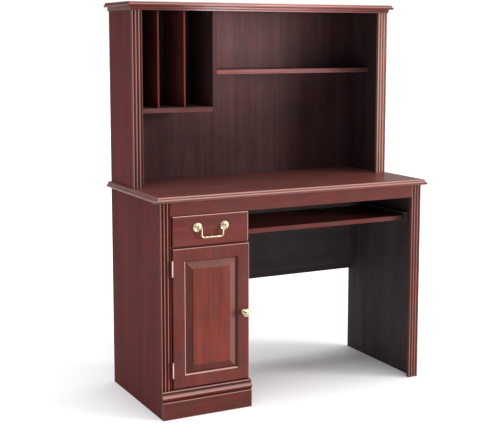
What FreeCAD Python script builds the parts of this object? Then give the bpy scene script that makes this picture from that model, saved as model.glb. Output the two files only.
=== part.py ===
import FreeCAD, Part
import math
import os

import Sketcher

# Computer desk with a hutch, a drawer-and-door pedestal on the left and a keyboard tray.
#
# Frame: +Z up, the desk faces -Y, +X to the right of someone sitting at it. The origin is
# on the floor, below the middle of the object's bounding box, which runs from the tip of
# the door knob to the back edge of the tops. All lengths are in millimetres.

V = FreeCAD.Vector

DIMENSIONS = {
    # overall
    "desk_width": 1038,
    "desk_depth": 463,
    "desk_height": 750,
    "side_overhang": 18,
    "front_overhang": 17,
    # stock
    "board": 16,
    "face": 13,
    "hardboard": 3,
    "top_thickness": 20,
    "crown_thickness": 16,
    "drawer_board": 12,
    # face pieces
    "pilaster_width": 38,
    "flute_width": 9.5,
    "flute_depth": 3.6,
    "flute_land": 2.5,
    "apron_height": 45,
    "plinth_height": 60,
    "plinth_thickness": 14,
    "cap_height": 35,
    # pedestal
    "pedestal_width": 330,
    "fronts_proud": 4,
    "fronts_left": 42.5,
    "drawer_right": 321,
    "door_right": 325,
    "drawer_low": 581.5,
    "door_high": 574.5,
    "door_low": 100,
    "frame_width": 46,
    "panel_bevel": 27,
    "front_radius": 3,
    # hardware
    "knob_length": 28,
    "knob_height": 336,
    "bail_height": 642,
    "bail_spacing": 100,
    "bail_drop": 33,
    "bail_stand": 14,
    "hinge_length": 54,
    "hinge_inset": 38,
    "barrel_radius": 2.4,
    "pin_radius": 1.2,
    "slide_gap": 12.5,
    "sheet_metal": 1.2,
    "roller_radius": 7.6,
    # kneehole
    "tray_low": 596,
    "tray_setback": 41,
    "tray_depth": 290,
    "modesty_low": 334,
    # hutch
    "hutch_depth": 228,
    "hutch_height": 1389,
    "cornice_height": 13,
    "cornice_proud": 4,
    "left_shelf_low": 1007,
    "right_shelf_low": 1135,
    "right_shelf_depth": 124,
    "slot_divider": 6,
    "slot_setback": 27,
}


class Size:
    """A length together with the sheet expression that gives it."""

    def __init__(self, value, text):
        self.value = value
        self.text = text

    def joined(self, other, sign, result):
        return Size(result, f"({self.text} {sign} {other.text})")

    def __add__(self, other):
        other = size_of(other)
        return self.joined(other, "+", self.value + other.value)

    def __sub__(self, other):
        other = size_of(other)
        return self.joined(other, "-", self.value - other.value)

    def __mul__(self, other):
        other = size_of(other)
        return self.joined(other, "*", self.value * other.value)

    def __truediv__(self, other):
        other = size_of(other)
        return self.joined(other, "/", self.value / other.value)

    def __radd__(self, other):
        return size_of(other) + self

    def __rsub__(self, other):
        return size_of(other) - self

    def __rmul__(self, other):
        return size_of(other) * self

    def __neg__(self):
        return size_of(0) - self


def size_of(number):
    return number if isinstance(number, Size) else Size(float(number), f"({number})")


doc = FreeCAD.newDocument("ComputerDesk")
sheet = doc.addObject("Spreadsheet::Sheet", "Sizes")
for row, (alias, number) in enumerate(DIMENSIONS.items(), start=1):
    sheet.set(f"A{row}", alias)
    sheet.set(f"B{row}", str(number))
    sheet.setAlias(f"B{row}", alias)
doc.recompute()
SIZE = {alias: Size(float(number), f"Sizes.{alias}") for alias, number in DIMENSIONS.items()}

parts = {}
drillings = {}
AXES = {
    "+X": V(1, 0, 0), "-X": V(-1, 0, 0),
    "+Y": V(0, 1, 0), "-Y": V(0, -1, 0),
    "+Z": V(0, 0, 1), "-Z": V(0, 0, -1),
}


# ---- modelling helpers ----

def keep(label, piece):
    """Make an object one of the sub-parts, under its own label."""
    piece.Label = label
    parts[label] = piece
    return piece


def bind(obj, name, size):
    obj.setExpression(name, size_of(size).text)


def place(obj, x, y, z, rotation=FreeCAD.Rotation()):
    corner = [size_of(value) for value in (x, y, z)]
    obj.Placement = FreeCAD.Placement(V(*[value.value for value in corner]), rotation)
    for axis, value in zip("xyz", corner):
        obj.setExpression(f"Placement.Base.{axis}", value.text)


def block(name, x, y, z):
    """A rectangular block between three pairs of limits."""
    piece = doc.addObject("Part::Box", name)
    for side, (low, high) in zip(("Length", "Width", "Height"), (x, y, z)):
        bind(piece, side, size_of(high) - low)
    place(piece, x[0], y[0], z[0])
    return piece


def board(label, x, y, z):
    return keep(label, block(label, x, y, z))


def rod(name, start, axis, radius, length):
    """A cylinder from the start point along one of the six axis directions."""
    piece = doc.addObject("Part::Cylinder", name)
    bind(piece, "Radius", radius)
    bind(piece, "Height", length)
    place(piece, *start, FreeCAD.Rotation(V(0, 0, 1), AXES[axis]))
    return piece


def along(start, axis, distance):
    """The point at a distance from the start along an axis direction."""
    return tuple(value + distance * step for value, step in zip(start, AXES[axis]))


def fused(name, pieces):
    piece = doc.addObject("Part::MultiFuse", name)
    piece.Shapes = pieces
    piece.Refine = True
    return piece


def bored(name, base, tool):
    piece = doc.addObject("Part::Cut", name)
    piece.Base = base
    piece.Tool = tool
    return piece


def group(label, pieces):
    """Several separate solids that share one sub-part."""
    piece = doc.addObject("Part::Compound", label)
    piece.Links = pieces
    return keep(label, piece)


def drill(labels, start, axis, radius, length):
    """Note a hole that is cut from each of these sub-parts once all are made."""
    for label in labels:
        hole = rod(f"{label}_hole", start, axis, radius, length)
        drillings.setdefault(label, []).append(hole)


def arc(start, end, radius, turn):
    """The short arc from start to end, turning left for +1 and right for -1."""
    chord = end - start
    rise = math.sqrt(max(radius ** 2 - (chord.Length / 2) ** 2, 0))
    normal = V(-chord.y, chord.x, 0).normalize()
    centre = (start + end) / 2 + normal * (rise * turn)
    angles = [math.atan2(point.y - centre.y, point.x - centre.x) for point in (start, end)]
    if turn < 0:
        angles.reverse()
    return Part.ArcOfCircle(Part.Circle(centre, V(0, 0, 1), radius), *angles)


def new_body(name, x, y, z):
    body = doc.addObject("PartDesign::Body", name)
    place(body, x, y, z)
    return body


def add_sketch(body, role, outlines, lift=0):
    """Closed outlines on one of the body's origin planes, lifted along its normal.

    A corner is (u, v), reached by a line, or (u, v, radius, turn), reached by an arc.
    """
    sketch = body.newObject("Sketcher::SketchObject", f"{body.Name}_sketch")
    plane = next(item for item in body.Origin.OriginFeatures if item.Role == role)
    sketch.AttachmentSupport = [(plane, "")]
    sketch.MapMode = "FlatFace"
    bind(sketch, "AttachmentOffset.Base.z", lift)
    for outline in outlines:
        add_outline(sketch, outline)
    return sketch


def add_outline(sketch, outline):
    corners = [[size_of(value) for value in corner[:2]] for corner in outline]
    points = [V(u.value, v.value, 0) for u, v in corners]
    first = sketch.GeometryCount
    ends = []
    for index, corner in enumerate(outline):
        start, end = points[index - 1], points[index]
        if len(corner) == 2:
            edge = sketch.addGeometry(Part.LineSegment(start, end), False)
            ends.append((1, 2))
            continue
        radius = size_of(corner[2])
        edge = sketch.addGeometry(arc(start, end, radius.value, corner[3]), False)
        ends.append((1, 2) if corner[3] > 0 else (2, 1))
        fix(sketch, Sketcher.Constraint("Radius", edge, radius.value), radius)
    for index, (u, v) in enumerate(corners):
        edge = first + index
        following = (index + 1) % len(corners)
        sketch.addConstraint(Sketcher.Constraint(
            "Coincident", edge, ends[index][1], first + following, ends[following][0]))
        at = (edge, ends[index][1])
        fix(sketch, Sketcher.Constraint("DistanceX", -1, 1, *at, u.value), u)
        fix(sketch, Sketcher.Constraint("DistanceY", -1, 1, *at, v.value), v)


def fix(sketch, constraint, size):
    index = sketch.addConstraint(constraint)
    sketch.setExpression(f"Constraints[{index}]", size.text)


def pad(body, sketch, length):
    feature = body.newObject("PartDesign::Pad", f"{body.Name}_pad")
    feature.Profile = sketch
    bind(feature, "Length", length)
    body.Tip = feature
    doc.recompute()
    return feature


def extruded(name, role, outlines, length, origin):
    """A body whose outlines lie on an origin plane and are padded along its normal.

    YZ_Plane pads along +X, XZ_Plane along -Y and XY_Plane along +Z.
    """
    body = new_body(name, *origin)
    pad(body, add_sketch(body, role, outlines), length)
    return body


def turned(name, outline, origin):
    """A body turned about the line through its origin along Y."""
    body = new_body(name, *origin)
    sketch = add_sketch(body, "XY_Plane", [outline])
    feature = body.newObject("PartDesign::Revolution", f"{name}_turning")
    feature.Profile = sketch
    feature.ReferenceAxis = (sketch, ["V_Axis"])
    feature.Angle = 360
    body.Tip = feature
    return body


def rectangle(u, v):
    return [(u[0], v[0]), (u[1], v[0]), (u[1], v[1]), (u[0], v[1])]


def dress(body, base, kind, edges, amount_name, amount):
    """A fillet or chamfer on the named edges of a feature."""
    feature = body.newObject(f"PartDesign::{kind}", f"{body.Name}_{kind.lower()}")
    feature.Base = (base, edges)
    bind(feature, amount_name, amount)
    body.Tip = feature
    doc.recompute()
    return feature


def front_edges(feature, depth, x, z):
    """Edges of a feature in the plane y = -depth, on the rectangle x by z."""
    found = []
    for index, edge in enumerate(feature.Shape.Edges, start=1):
        middle = edge.CenterOfMass
        on_side = min(abs(middle.x - limit.value) for limit in x) < 0.01
        on_end = min(abs(middle.z - limit.value) for limit in z) < 0.01
        if abs(middle.y + depth.value) < 0.01 and (on_side or on_end):
            found.append(f"Edge{index}")
    return found


def mirrored(limits, side, start):
    """A pair of distances from a start face, measured to the left (-1) or right (+1)."""
    low, high = limits
    if side > 0:
        return (start + low, start + high)
    return (start - high, start - low)


# ---- places that several sub-parts share ----

BOARD = SIZE["board"]
FACE = SIZE["face"]
LEFT = -(SIZE["desk_width"] / 2)
RIGHT = SIZE["desk_width"] / 2
FRONT = (SIZE["fronts_proud"] + SIZE["knob_length"] - SIZE["desk_depth"]) / 2
BACK = FRONT + SIZE["desk_depth"]
BOARD_FRONT = FRONT + FACE
BOARD_BACK = BACK - SIZE["hardboard"] - 1
UNDER_TOP = SIZE["desk_height"] - SIZE["top_thickness"]
PEDESTAL = LEFT + SIZE["pedestal_width"]
PARTITION = PEDESTAL - BOARD
LEG = RIGHT - BOARD
PLINTH_TOP = SIZE["plinth_height"] + SIZE["cap_height"]
FRONTS_BACK = FRONT - SIZE["fronts_proud"] + BOARD
FRONTS_FACE = FRONT - SIZE["fronts_proud"]
FRONTS_LEFT = LEFT + SIZE["fronts_left"]
DRAWER_RIGHT = LEFT + SIZE["drawer_right"]
DRAWER_TOP = UNDER_TOP - SIZE["apron_height"] - 2
DOOR_RIGHT = LEFT + SIZE["door_right"]
DIVIDER_TOP = SIZE["drawer_low"] + 4.5
HUTCH_FRONT = BACK - SIZE["hutch_depth"]
HUTCH_BOARD_FRONT = HUTCH_FRONT + FACE
CROWN_LOW = SIZE["hutch_height"] - SIZE["crown_thickness"]
CORNICE_LOW = CROWN_LOW - SIZE["cornice_height"]
HUTCH_DIVIDER = PEDESTAL - BOARD - 5
DRAWER_SLIDE_FACE = FRONTS_LEFT + 1
TRAY_SLIDE_FACE = RIGHT - SIZE["pilaster_width"] - 1
TRAY_FRONT = FRONT + SIZE["tray_setback"]
TRAY_MIDDLE = SIZE["tray_low"] + BOARD / 2
TRAY_SLIDE_Y = (TRAY_FRONT + 5, TRAY_FRONT + 325)
CLEARANCE = 0.1


# ---- moulded boards and fluted strips ----

def moulded_outline(low, high, thick, low_moulded):
    """A board's section with an ogee at its high end, and at its low end if asked.

    Going up, the edge is a quarter round, a short lip, a cove and a quarter round.
    """
    lip = thick * 0.25
    ogee = thick * 0.2875
    lip_top = thick - ogee * 2
    outline = [
        (high - lip, 0),
        (high, lip, lip, 1),
        (high, lip_top),
        (high - ogee, lip_top + ogee, ogee, -1),
        (high - ogee * 2, thick, ogee, 1),
    ]
    if not low_moulded:
        return outline + [(low, thick), (low, 0)]
    return outline + [
        (low + ogee * 2, thick),
        (low + ogee, lip_top + ogee, ogee, 1),
        (low, lip_top, ogee, -1),
        (low, lip),
        (low + lip, 0, lip, 1),
    ]


def mirrored_outline(outline):
    """The outline reflected left to right, still going the same way round."""
    flipped = []
    for index in range(len(outline)):
        corner = outline[-1 - index]
        reached = outline[-index] if index else outline[0]
        flipped.append((-size_of(corner[0]), corner[1], *reached[2:]))
    return flipped


def moulded_board(label, x, y, z):
    """A top with the same moulding run along its front, left and right edges."""
    thick = z[1] - z[0]
    depth = y[1] - y[0]
    width = x[1] - x[0]
    front_outline = mirrored_outline(moulded_outline(size_of(0), depth, thick, False))
    front = extruded(f"{label}_front_run", "YZ_Plane", [front_outline], width,
                     (x[0], y[1], z[0]))
    side_outline = moulded_outline(size_of(0), width, thick, True)
    sides = extruded(f"{label}_side_runs", "XZ_Plane", [side_outline], depth,
                     (x[0], y[1], z[0]))
    piece = doc.addObject("Part::Common", label)
    piece.Base = front
    piece.Tool = sides
    return keep(label, piece)


def fluted_pilaster(label, x, y, z):
    """An upright face strip with three round flutes down its front."""
    flute = SIZE["flute_width"]
    deep = SIZE["flute_depth"]
    land = SIZE["flute_land"]
    width = SIZE["pilaster_width"]
    radius = (flute * flute / 4 + deep * deep) / (deep * 2)
    margin = (width - flute * 3 - land * 2) / 2
    outline = [(0, 0)]
    for index in range(3):
        start = margin + (flute + land) * index
        outline.append((start, 0))
        outline.append((start + flute, 0, radius, -1))
    outline += [(width, 0), (width, FACE), (0, FACE)]
    return keep(label, extruded(label, "XY_Plane", [outline], z[1] - z[0], (x, y, z[0])))


# ---- desk carcass ----

def make_carcass():
    back_edge = (BOARD_FRONT, BOARD_BACK)
    inside = (LEFT + BOARD, PARTITION)
    moulded_board("desk_top", (LEFT - SIZE["side_overhang"], RIGHT + SIZE["side_overhang"]),
                  (FRONT - SIZE["front_overhang"], BACK), (UNDER_TOP, SIZE["desk_height"]))
    board("left_side_panel", (LEFT, LEFT + BOARD), back_edge, (0, UNDER_TOP))
    board("right_leg_panel", (LEG, RIGHT), (BOARD_FRONT, BACK), (0, UNDER_TOP))
    partition = [(0, 0), (BOARD_BACK - FRONT, 0), (BOARD_BACK - FRONT, UNDER_TOP),
                 (FACE, UNDER_TOP), (FACE, PLINTH_TOP), (0, PLINTH_TOP)]
    keep("pedestal_partition", extruded("pedestal_partition", "YZ_Plane", [partition],
                                        BOARD, (PARTITION, FRONT, 0)))
    fluted_pilaster("left_pilaster", LEFT, FRONT, (0, UNDER_TOP))
    fluted_pilaster("right_pilaster", RIGHT - SIZE["pilaster_width"], FRONT, (0, UNDER_TOP))
    board("apron_rail", (LEFT + SIZE["pilaster_width"], RIGHT - SIZE["pilaster_width"]),
          (FRONT, FRONT + FACE), (UNDER_TOP - SIZE["apron_height"], UNDER_TOP))
    board("pedestal_bottom", inside, back_edge, (PLINTH_TOP - BOARD, PLINTH_TOP))
    board("drawer_divider", inside, back_edge, (DIVIDER_TOP - BOARD, DIVIDER_TOP))
    board("pedestal_back", (LEFT + 1, PEDESTAL - 1),
          (BOARD_BACK, BOARD_BACK + SIZE["hardboard"]), (SIZE["plinth_height"], UNDER_TOP))
    board("modesty_panel", (PEDESTAL, LEG), (BACK - BOARD, BACK),
          (SIZE["modesty_low"], UNDER_TOP))


def make_plinth():
    """The toe board with a rounded top edge, and the cap moulding that stands on it.

    Going up, the cap is a cove, a bead, a second cove and a smaller bead.
    """
    high = SIZE["plinth_height"]
    thick = SIZE["plinth_thickness"]
    tall = SIZE["cap_height"]
    overlap = 2
    round_over = 3
    board_outline = [
        (0, 0), (-thick, 0), (-thick, high - round_over),
        (round_over - thick, high, round_over, -1), (0, high),
    ]
    keep("plinth_board", extruded("plinth_board", "YZ_Plane", [board_outline],
                                  SIZE["pedestal_width"], (LEFT, FRONT, 0)))
    foot = thick - 6
    waist = thick - 8
    fillet = 1
    low_bead = 10
    low_bead_face = 2
    low_radius = 6
    low_cove = 10
    high_cove = 14
    high_bead = 28
    high_radius = 4
    face_top = low_bead + fillet + low_bead_face
    cap_outline = [
        (0, 0),
        (-foot, 0),
        (fillet - thick, low_bead, low_cove, 1),
        (-thick, low_bead + fillet),
        (-thick, face_top),
        (low_radius - thick, face_top + low_radius, low_radius, -1),
        (-waist, high_bead, high_cove, 1),
        (-waist - fillet, high_bead),
        (-waist - fillet, tall - high_radius),
        (high_radius - waist - fillet, tall, high_radius, -1),
        (0, tall),
    ]
    keep("plinth_cap_moulding", extruded("plinth_cap_moulding", "YZ_Plane", [cap_outline],
                                         SIZE["pedestal_width"] + overlap,
                                         (LEFT, FRONT, high)))


def make_cupboard_shelf():
    low = (PLINTH_TOP + DIVIDER_TOP - BOARD) / 2
    setback = 50
    end_gap = 1
    pin_inset = 40
    pin_proud = 8
    pin_length = 18
    y = (BOARD_FRONT + setback, BOARD_BACK - end_gap * 2)
    board("cupboard_shelf", (LEFT + BOARD + end_gap, PARTITION - end_gap), y,
          (low, low + BOARD))
    pins = []
    radius = 2.5
    for pin_y in (y[0] + pin_inset, y[1] - pin_inset):
        for face, axis, owner in ((LEFT + BOARD, "-X", "left_side_panel"),
                                  (PARTITION, "+X", "pedestal_partition")):
            inward = "+X" if axis == "-X" else "-X"
            start = along((face, pin_y, low - radius), inward, pin_proud)
            pins.append(rod("shelf_pin", start, axis, radius, pin_length))
            drill([owner], start, axis, radius + CLEARANCE, pin_length + CLEARANCE * 2)
    group("shelf_pins", pins)


# ---- hutch ----

def make_hutch():
    low = SIZE["desk_height"]
    pilaster = SIZE["pilaster_width"]
    panel_back = BOARD_BACK
    depth = (HUTCH_BOARD_FRONT, panel_back)
    moulded_board("hutch_top", (LEFT - SIZE["side_overhang"], RIGHT + SIZE["side_overhang"]),
                  (HUTCH_FRONT - SIZE["front_overhang"], BACK),
                  (CROWN_LOW, SIZE["hutch_height"]))
    board("hutch_left_side", (LEFT, LEFT + BOARD), depth, (low, CROWN_LOW))
    board("hutch_right_side", (LEG, RIGHT), depth, (low, CROWN_LOW))
    fluted_pilaster("hutch_left_pilaster", LEFT, HUTCH_FRONT, (low, CORNICE_LOW))
    fluted_pilaster("hutch_right_pilaster", RIGHT - pilaster, HUTCH_FRONT,
                    (low, CORNICE_LOW))
    board("hutch_back", (LEFT + 1, RIGHT - 1),
          (panel_back, panel_back + SIZE["hardboard"]), (low, CROWN_LOW))
    divider = (HUTCH_DIVIDER, HUTCH_DIVIDER + BOARD)
    board("hutch_divider", divider, depth, (SIZE["left_shelf_low"], CROWN_LOW))
    board("hutch_left_shelf", (LEFT + BOARD, divider[0]), depth,
          (SIZE["left_shelf_low"], SIZE["left_shelf_low"] + BOARD))
    board("hutch_right_shelf", (divider[1], LEG),
          (panel_back - SIZE["right_shelf_depth"], panel_back),
          (SIZE["right_shelf_low"], SIZE["right_shelf_low"] + BOARD))
    slots = []
    slot = SIZE["slot_divider"]
    pitch = (divider[0] - LEFT - BOARD - slot * 2) / 3 + slot
    for index in (1, 2):
        x = LEFT + BOARD + pitch * index - slot
        slots.append(block("slot", (x, x + slot),
                           (HUTCH_BOARD_FRONT + SIZE["slot_setback"], panel_back),
                           (SIZE["left_shelf_low"] + BOARD, CROWN_LOW)))
    group("slot_dividers", slots)


def make_cornice():
    """Bed mould under the crown: a front run and a return on each side."""
    proud = SIZE["cornice_proud"]
    z = (CORNICE_LOW, CROWN_LOW)
    cove = proud * 0.9
    cove_top = 8
    front = (LEFT - proud, RIGHT + proud)
    section = [
        (0, 0),
        (0, z[1] - z[0]),
        (-(FACE + proud), z[1] - z[0]),
        (-(FACE + proud), cove_top),
        (-(FACE + proud - cove), cove_top - cove, cove, 1),
        (-(FACE + proud - cove), 0),
    ]
    pieces = [extruded("cornice_front", "YZ_Plane", [section], front[1] - front[0],
                       (front[0], HUTCH_BOARD_FRONT, z[0]))]
    for start in (LEFT - proud, RIGHT):
        pieces.append(block("cornice_return", (start, start + proud),
                            (HUTCH_BOARD_FRONT, BACK), z))
    group("cornice_moulding", pieces)


# ---- slides for the drawer and the keyboard tray ----

def make_slide(prefix, side, face, middle, y, runner_y):
    """One roller slide: a channel on the cabinet, a runner on what slides, two rollers.

    side is +1 where the moving part is on the +X side of the cabinet face.
    """
    metal = SIZE["sheet_metal"]
    gap = SIZE["slide_gap"]
    roller = SIZE["roller_radius"]
    play = 0.4
    room = roller + play
    flange = 8
    axle = 2
    head = 3.2
    head_depth = 0.4
    head_at = {"front": 10.5, "rear": 1.6}
    inset = 11
    out = "+X" if side > 0 else "-X"

    def x(low, high):
        return mirrored((size_of(low), size_of(high)), side, face)

    def point(distance, at_y, z=middle):
        return (face + distance * side, at_y, z)

    channel = [block("web", x(0, metal), y, (middle - room - metal, middle + room + metal))]
    for low in (middle + room, middle - room - metal):
        channel.append(block("flange", x(0, flange), y, (low, low + metal)))
    front_axle = y[0] + inset
    channel.append(rod("axle", point(metal, front_axle), out, axle,
                       head_at["front"] - metal + head_depth / 2))
    channel.append(rod("axle_head", point(head_at["front"], front_axle), out, head,
                       head_depth))

    runner = [block("web", x(gap - metal, gap), runner_y,
                    (middle - room - metal, middle + room + metal)),
              block("flange", x(flange + play, gap - metal), runner_y,
                    (middle + room, middle + room + metal))]
    rear_axle = runner_y[1] - inset
    runner.append(rod("axle", point(head_at["rear"], rear_axle), out, axle,
                      gap - metal - head_at["rear"]))
    runner.append(rod("axle_head", point(head_at["rear"], rear_axle), out, head,
                      head_depth))
    runner.append(rod("collar", point(flange + play, rear_axle), out, head,
                      gap - metal - flange - play))

    rollers = []
    for name, start, length, at_y in (("front", 1.8, 8.4, front_axle),
                                      ("rear", 2.3, 5.8, rear_axle)):
        blank = rod(f"{prefix}_{name}_roller", point(start, at_y), out, roller, length)
        bore = rod("roller_bore", point(start - 1, at_y), out, axle + 0.06, length + 2)
        rollers.append(bored(f"{prefix}_{name}_roller", blank, bore))
    return fused(f"{prefix}_channel", channel), fused(f"{prefix}_runner", runner), rollers


def make_slides(prefix, left_face, right_face, owners, middle, y, runner_y):
    """The pair of slides that carries one sliding part."""
    pairs = [make_slide(prefix, 1, left_face, middle, y, runner_y),
             make_slide(prefix, -1, right_face, middle, y, runner_y)]
    group(f"{prefix}_slide_channels", [pair[0] for pair in pairs])
    group(f"{prefix}_runners", [pair[1] for pair in pairs])
    group(f"{prefix}_front_rollers", [pair[2][0] for pair in pairs])
    group(f"{prefix}_rear_rollers", [pair[2][1] for pair in pairs])
    metal = SIZE["sheet_metal"]
    for face, axis, side, owner in ((left_face, "-X", 1, owners[0]),
                                    (right_face, "+X", -1, owners[1])):
        for at_y in (y[0] + 50, (y[0] + y[1]) / 2, y[1] - 40):
            add_screw("frame_screws", [f"{prefix}_slide_channels", owner],
                      (face + metal * side, at_y, middle), axis, 3.1, metal, 1.5, 11)


# ---- screws, cams, dowels and nails ----

fasteners = {}


def add_screw(label, through, start, axis, head_radius, head_depth, shank_radius, length):
    """A flush screw: a head, then a shank, with a clearance hole in each piece it crosses."""
    head = rod("screw_head", start, axis, head_radius, head_depth)
    shank = rod("screw_shank", start, axis, shank_radius, length)
    drill(through, start, axis, head_radius + CLEARANCE, head_depth + CLEARANCE / 2)
    drill(through, start, axis, shank_radius + CLEARANCE, length + CLEARANCE * 5)
    fasteners.setdefault(label, []).append(fused("screw", [head, shank]))


def add_cam(cam_board, bolt_board, centre, into, toward, setback):
    """A cam disc let into a board's face, and its bolt, which runs into the next board.

    The centre is on the board's face; into is the direction into the face and toward is
    the direction to the joint, which is a setback away.
    """
    radius = 7.5
    depth = 12.5
    bolt_depth = 8
    bolt_radius = 3
    bolt_reach = 11
    bolt_length = setback - radius + bolt_reach
    lead = 3
    fasteners.setdefault("cam_locks", []).append(rod("cam", centre, into, radius, depth))
    drill([cam_board], centre, into, radius + CLEARANCE, depth + CLEARANCE * 2)
    inside = along(centre, into, bolt_depth)
    start = along(inside, toward, radius + CLEARANCE)
    fasteners.setdefault("cam_bolts", []).append(
        rod("cam_bolt", start, toward, bolt_radius, bolt_length))
    mouth = along(inside, toward, radius - lead)
    drill([cam_board, bolt_board], mouth, toward, bolt_radius + CLEARANCE,
          bolt_length + lead + CLEARANCE * 6)


def add_cams():
    setback = 24
    high = UNDER_TOP - setback
    for y in (BOARD_FRONT + 60, BOARD_BACK - 60):
        add_cam("left_side_panel", "desk_top", (LEFT + BOARD, y, high), "-X", "+Z", setback)
        add_cam("pedestal_partition", "desk_top", (PARTITION, y, high), "+X", "+Z", setback)
        add_cam("right_leg_panel", "desk_top", (LEG, y, high), "+X", "+Z", setback)
        for shelf, low in (("pedestal_bottom", PLINTH_TOP - BOARD),
                           ("drawer_divider", DIVIDER_TOP - BOARD)):
            add_cam(shelf, "left_side_panel", (LEFT + BOARD + setback, y, low),
                    "+Z", "-X", setback)
            add_cam(shelf, "pedestal_partition", (PARTITION - setback, y, low),
                    "+Z", "+X", setback)
    for z in (SIZE["modesty_low"] + 50, UNDER_TOP - 50):
        add_cam("modesty_panel", "pedestal_partition", (PEDESTAL + setback, BACK, z),
                "-Y", "-X", setback)
        add_cam("modesty_panel", "right_leg_panel", (LEG - setback, BACK, z),
                "-Y", "+X", setback)
    high = CROWN_LOW - setback
    shelf_low = SIZE["left_shelf_low"]
    for y in (HUTCH_BOARD_FRONT + 40, BOARD_BACK - 40):
        add_cam("hutch_left_side", "hutch_top", (LEFT + BOARD, y, high), "-X", "+Z", setback)
        add_cam("hutch_right_side", "hutch_top", (LEG, y, high), "+X", "+Z", setback)
        add_cam("hutch_divider", "hutch_top", (HUTCH_DIVIDER, y, high), "+X", "+Z", setback)
        add_cam("hutch_left_shelf", "hutch_left_side",
                (LEFT + BOARD + setback, y, shelf_low), "+Z", "-X", setback)
        add_cam("hutch_left_shelf", "hutch_divider",
                (HUTCH_DIVIDER - setback, y, shelf_low), "+Z", "+X", setback)
    for y in (BOARD_BACK - 95, BOARD_BACK - 30):
        add_cam("hutch_right_shelf", "hutch_right_side",
                (LEG - setback, y, SIZE["right_shelf_low"]), "+Z", "+X", setback)
        add_cam("hutch_right_shelf", "hutch_divider",
                (HUTCH_DIVIDER + BOARD + setback, y, SIZE["right_shelf_low"]),
                "+Z", "-X", setback)


def add_dowels():
    """Wooden pegs that locate the hutch's sides on the desk top."""
    radius = 4
    reach = 12
    low = SIZE["desk_height"] - reach
    for x, owner in ((LEFT + BOARD / 2, "hutch_left_side"),
                     (RIGHT - BOARD / 2, "hutch_right_side")):
        for y in (HUTCH_BOARD_FRONT + 30, BOARD_BACK - 30):
            peg = rod("dowel", (x, y, low), "+Z", radius, reach * 2)
            fasteners.setdefault("hutch_dowels", []).append(peg)
            drill(["desk_top", owner], (x, y, low - CLEARANCE * 5), "+Z",
                  radius + CLEARANCE, reach * 2 + CLEARANCE * 10)


def add_nails():
    """Nails with flat heads along the edges of the two back panels."""
    surface = BOARD_BACK + SIZE["hardboard"]
    spaces = 5
    margin = 20
    rows = []
    for step in range(spaces + 1):
        low = SIZE["desk_height"] + margin * 2
        z = low + (CROWN_LOW - margin - low) / spaces * step
        rows += [(LEFT + BOARD / 2, z), (RIGHT - BOARD / 2, z)]
        low = PLINTH_TOP + margin
        z = low + (UNDER_TOP - margin - low) / spaces * step
        rows += [(LEFT + BOARD / 2, z), (PARTITION + BOARD / 2, z)]
    for step in range(1, spaces):
        x = LEFT + SIZE["desk_width"] / spaces * step
        shelf = "right_shelf_low" if step > 1 else "left_shelf_low"
        rows.append((x, SIZE[shelf] + BOARD / 2))
    shank_radius, shank_length = 0.8, 16
    head_radius, head_depth = 2.4, 0.6
    for x, z in rows:
        shank = rod("nail_shank", (x, surface, z), "-Y", shank_radius, shank_length)
        head = rod("nail_head", (x, surface, z), "+Y", head_radius, head_depth)
        fasteners.setdefault("back_panel_nails", []).append(fused("nail", [shank, head]))


# ---- drawer ----

def rounded_front(label, x, z):
    """An overlay front with softened edges all round its face."""
    width = x[1] - x[0]
    height = z[1] - z[0]
    body = new_body(label, x[0], FRONTS_BACK, z[0])
    blank = pad(body, add_sketch(body, "XZ_Plane", [rectangle((0, width), (0, height))]),
                BOARD)
    edges = front_edges(blank, BOARD, (size_of(0), width), (size_of(0), height))
    dress(body, blank, "Fillet", edges, "Radius", SIZE["front_radius"])
    return keep(label, body)


def make_drawer():
    rounded_front("drawer_front", (FRONTS_LEFT, DRAWER_RIGHT), (SIZE["drawer_low"], DRAWER_TOP))
    thin = SIZE["drawer_board"]
    box_low = DIVIDER_TOP + 6
    box_height = 76
    box_high = box_low + box_height
    depth = 380
    x = (DRAWER_SLIDE_FACE + SIZE["slide_gap"], PARTITION - SIZE["slide_gap"])
    y = (FRONTS_BACK, FRONTS_BACK + depth)
    groove_low = box_low + 8
    floor = (groove_low, groove_low + SIZE["hardboard"])
    groove = 5
    bottom_x = (x[0] + thin - groove, x[1] - thin + groove)
    slot = block("drawer_groove", (bottom_x[0] - CLEARANCE * 2, bottom_x[1] + CLEARANCE * 2),
                 (y[0] - 1, y[1] + 1), (floor[0] - CLEARANCE, floor[1] + CLEARANCE))
    for label, side in (("drawer_left_side", (x[0], x[0] + thin)),
                        ("drawer_right_side", (x[1] - thin, x[1]))):
        blank = block(f"{label}_blank", side, y, (box_low, box_high))
        keep(label, bored(label, blank, slot))
    board("drawer_back", (x[0] + thin, x[1] - thin), (y[1] - thin, y[1]),
          (floor[1] + CLEARANCE * 2, box_high))
    board("drawer_bottom", bottom_x, (y[0], y[1] - 1), floor)
    middle = box_low + 12
    slide_front = BOARD_FRONT + 8
    slide_y = (slide_front, slide_front + depth)
    make_slides("drawer", DRAWER_SLIDE_FACE, PARTITION,
                ("slide_spacers", "pedestal_partition"), middle, slide_y,
                (FRONTS_BACK + 2, y[1]))


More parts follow.
